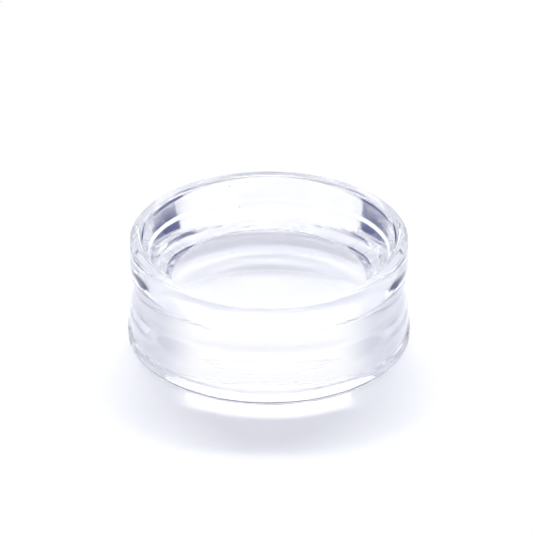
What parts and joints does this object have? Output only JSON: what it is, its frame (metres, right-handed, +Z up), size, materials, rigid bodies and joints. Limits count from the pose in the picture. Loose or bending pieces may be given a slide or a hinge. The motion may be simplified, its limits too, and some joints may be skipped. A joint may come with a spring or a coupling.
{
  "type": "dappen dish",
  "caption": "Small round clear glass dish with a banded rim, a shallow flat-floored well, a thick solid base and a beaded foot, for holding liquid or powder in nail work.",
  "frame": {"origin": "centre of the underside, on the surface the dish stands on", "axes": "+Z up along the axis the dish is turned about; X and Y are free because the dish is round"},
  "size_m": [0.04, 0.04, 0.0155],
  "materials": {
    "clear_glass": "polished clear pressed glass"
  },
  "bodies": {
    "root": {"glass_dish": "clear_glass"}
  },
  "joints": []
}
